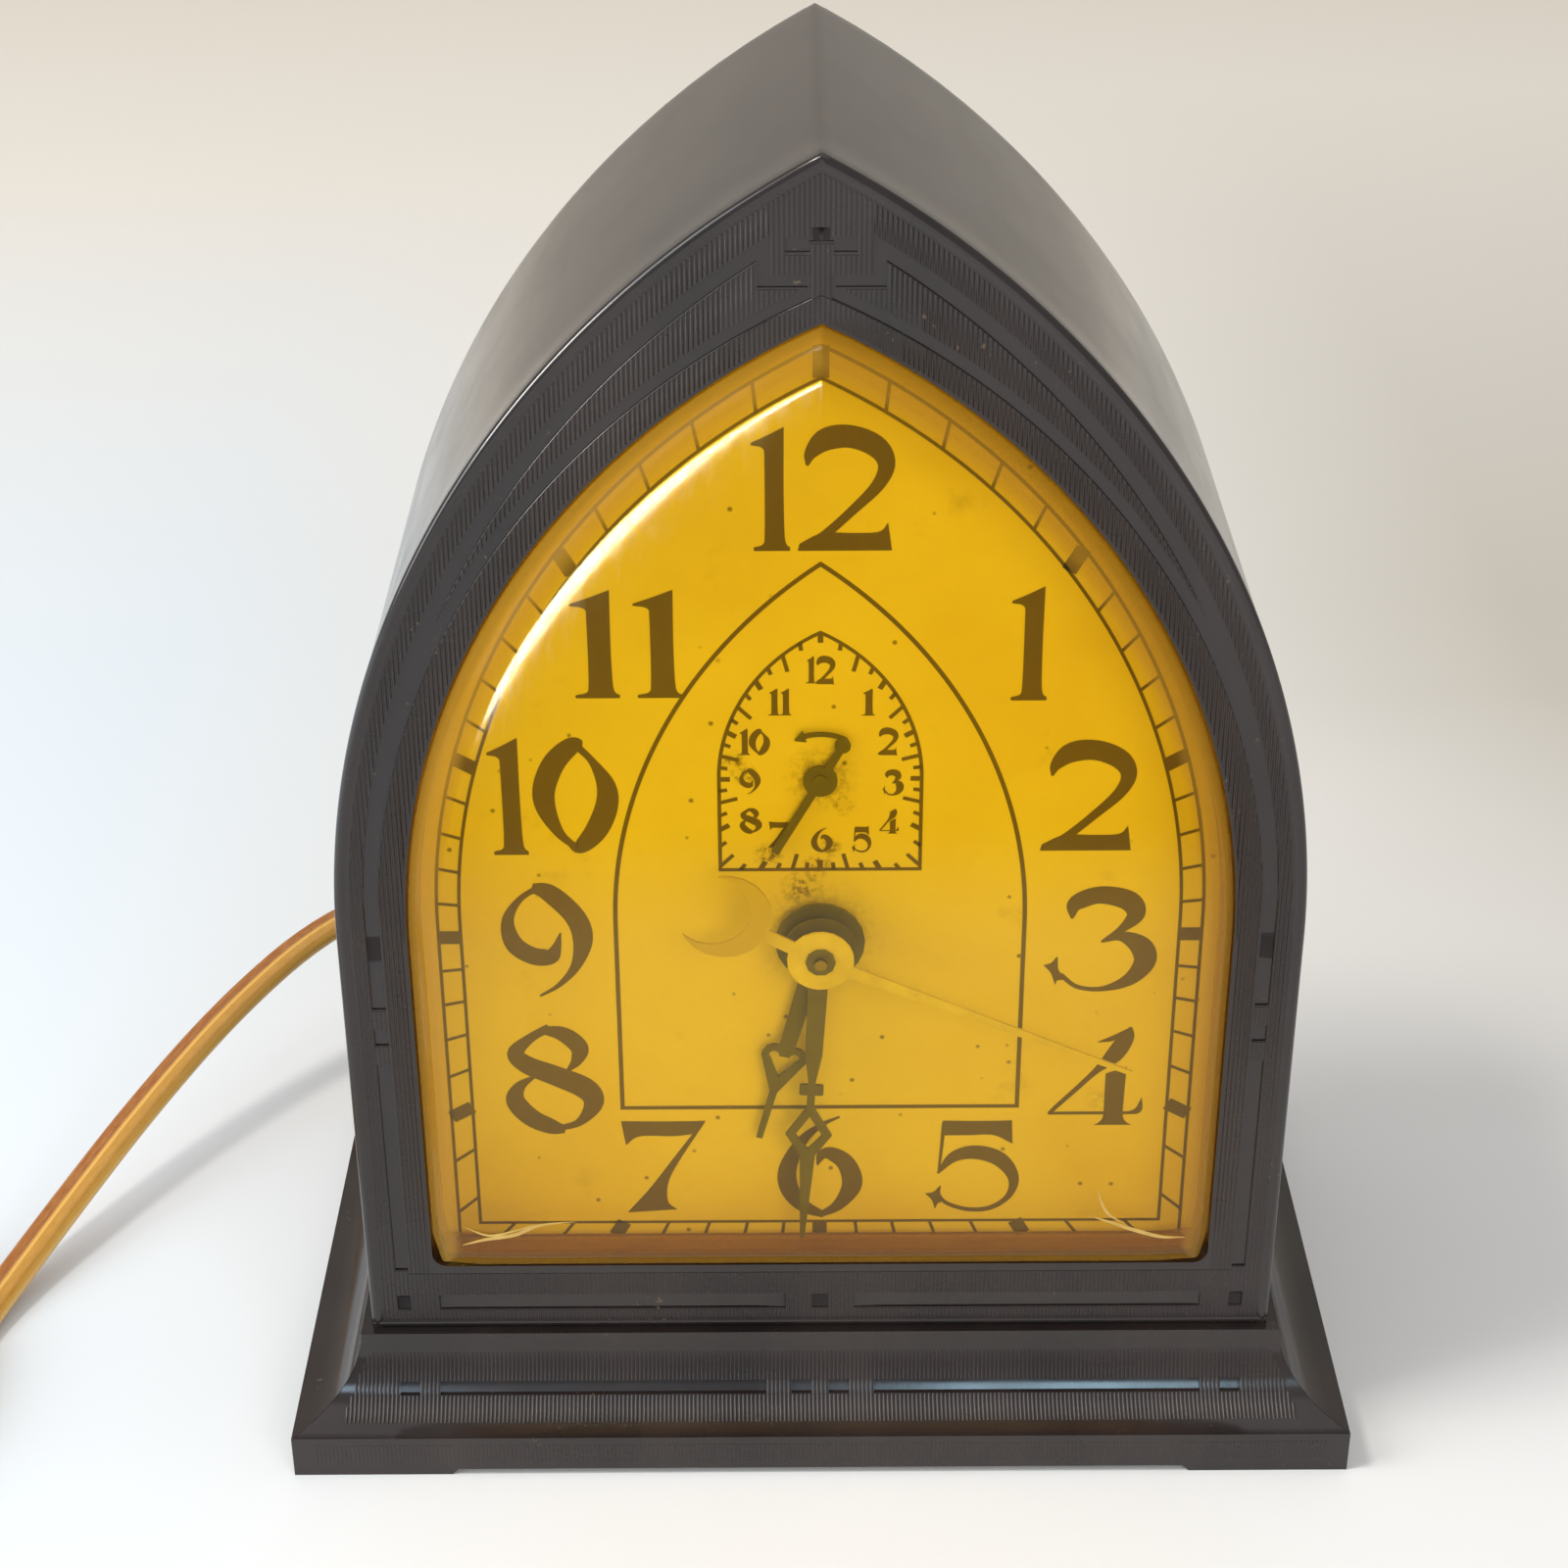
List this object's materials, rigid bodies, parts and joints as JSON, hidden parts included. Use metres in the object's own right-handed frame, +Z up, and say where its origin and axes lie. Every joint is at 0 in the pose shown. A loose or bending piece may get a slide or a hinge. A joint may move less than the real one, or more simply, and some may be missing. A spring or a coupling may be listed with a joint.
{
  "type": "steeple alarm clock",
  "caption": "Gothic-arch moulded electric alarm clock on a coved plinth, with an amber domed crystal, a printed dial, pierced hands, a geared movement and a twin-flex cord with plug.",
  "frame": {"origin": "middle of the plinth's footprint, on the surface it stands on", "axes": "+Z up along the case's height, front of the clock towards -Y, the viewer's right along +X"},
  "size_m": [0.275, 0.1326, 0.1759],
  "materials": {
    "moulding": "polished dark brown moulding",
    "crystal": "aged amber clear plastic",
    "dial": "satin printed dial",
    "brass": "machined",
    "steel": "machined",
    "dark_hand": "dark blued paint",
    "cream_hand": "cream paint",
    "core": "laminated iron",
    "bobbin": "pressed fibre",
    "winding": "taped coil",
    "knob": "moulded",
    "cover": "black enamel",
    "grommet": "black rubber",
    "flex": "clear brown insulation over copper"
  },
  "bodies": {
    "clock": {"base_plinth": "moulding", "case_shell": "moulding", "base_screws": "steel", "crystal": "crystal", "dial_plate": "dial", "front_plate": "brass", "back_plate": "brass", "plate_pillars": "brass", "dial_posts": "brass", "movement_posts": "brass", "centre_bush": "brass", "rotor_capsule": "brass", "stator_core": "core", "stator_spacers": "brass", "coil_bobbin": "bobbin", "coil_winding": "winding", "reed_bracket": "steel", "back_cover": "cover", "case_screws": "steel", "movement_screws": "steel", "cord_grommet": "grommet", "cord": "flex", "cord_coil": "flex", "cord_tie": "grommet", "plug_body": "moulding", "plug_blades": "brass"},
    "seconds": {"seconds_arbor": "steel", "seconds_wheel": "brass", "seconds_hand": "cream_hand", "seconds_bush": "dark_hand"},
    "motor": {"motor_pinion": "steel"},
    "reduction": {"reduction_arbor": "steel", "reduction_wheel": "brass"},
    "centre": {"centre_tube": "steel", "centre_wheel": "brass"},
    "time_set": {"minute_arbor": "steel", "minute_wheel": "brass", "time_set_knob": "knob"},
    "minutes": {"cannon_pinion": "steel", "minute_hand": "dark_hand"},
    "hours": {"hour_wheel": "brass", "hour_hand": "dark_hand"},
    "alarm_train": {"alarm_wheel": "brass"},
    "alarm_set": {"alarm_arbor": "steel", "alarm_cam": "brass", "alarm_hand": "dark_hand", "alarm_set_knob": "knob"},
    "alarm_switch": {"switch_shaft": "steel", "switch_lever": "steel"},
    "reed": {"buzzer_reed": "steel"}
  },
  "joints": [
    {"name": "seconds_spin", "type": "hinge", "parent": "clock", "child": "seconds", "pos_m": [0, 0, 0.075], "axis": [0, 1, 0], "continuous": true},
    {"name": "motor_spin", "type": "hinge", "parent": "clock", "child": "motor", "pos_m": [-0.00451, 0, 0.0626], "axis": [0, 1, 0], "continuous": true},
    {"name": "reduction_spin", "type": "hinge", "parent": "clock", "child": "reduction", "pos_m": [-0.01143, 0, 0.0816], "axis": [0, 1, 0], "continuous": true},
    {"name": "centre_spin", "type": "hinge", "parent": "clock", "child": "centre", "pos_m": [0, 0, 0.075], "axis": [0, 1, 0], "continuous": true},
    {"name": "time_set_spin", "type": "hinge", "parent": "clock", "child": "time_set", "pos_m": [0.01152, 0, 0.08307], "axis": [0, 1, 0], "continuous": true},
    {"name": "minutes_spin", "type": "hinge", "parent": "clock", "child": "minutes", "pos_m": [0, 0, 0.075], "axis": [0, 1, 0], "continuous": true},
    {"name": "hours_spin", "type": "hinge", "parent": "clock", "child": "hours", "pos_m": [0, 0, 0.075], "axis": [0, 1, 0], "continuous": true},
    {"name": "alarm_train_spin", "type": "hinge", "parent": "clock", "child": "alarm_train", "pos_m": [0, 0, 0.0975], "axis": [0, 1, 0], "continuous": true},
    {"name": "alarm_set_spin", "type": "hinge", "parent": "clock", "child": "alarm_set", "pos_m": [0, 0, 0.0975], "axis": [0, 1, 0], "continuous": true},
    {"name": "alarm_switch_turn", "type": "hinge", "parent": "clock", "child": "alarm_switch", "pos_m": [0.024, 0, 0.088], "axis": [0, 1, 0], "range_deg": [0, 60]},
    {"name": "reed_swing", "type": "hinge", "parent": "clock", "child": "reed", "pos_m": [0.01444, 0.01, 0.078], "axis": [0, 1, 0], "range_deg": [-0.8, 0.8], "stiffness_Nm_per_rad": 0.002}
  ],
  "couplings": [
    {"joint": "motor_spin", "follows": "seconds_spin", "ratio": -3},
    {"joint": "reduction_spin", "follows": "seconds_spin", "ratio": -0.125},
    {"joint": "centre_spin", "follows": "seconds_spin", "ratio": 0.016667},
    {"joint": "minutes_spin", "follows": "time_set_spin", "ratio": -3},
    {"joint": "hours_spin", "follows": "time_set_spin", "ratio": -0.25},
    {"joint": "alarm_train_spin", "follows": "time_set_spin", "ratio": 0.25}
  ]
}
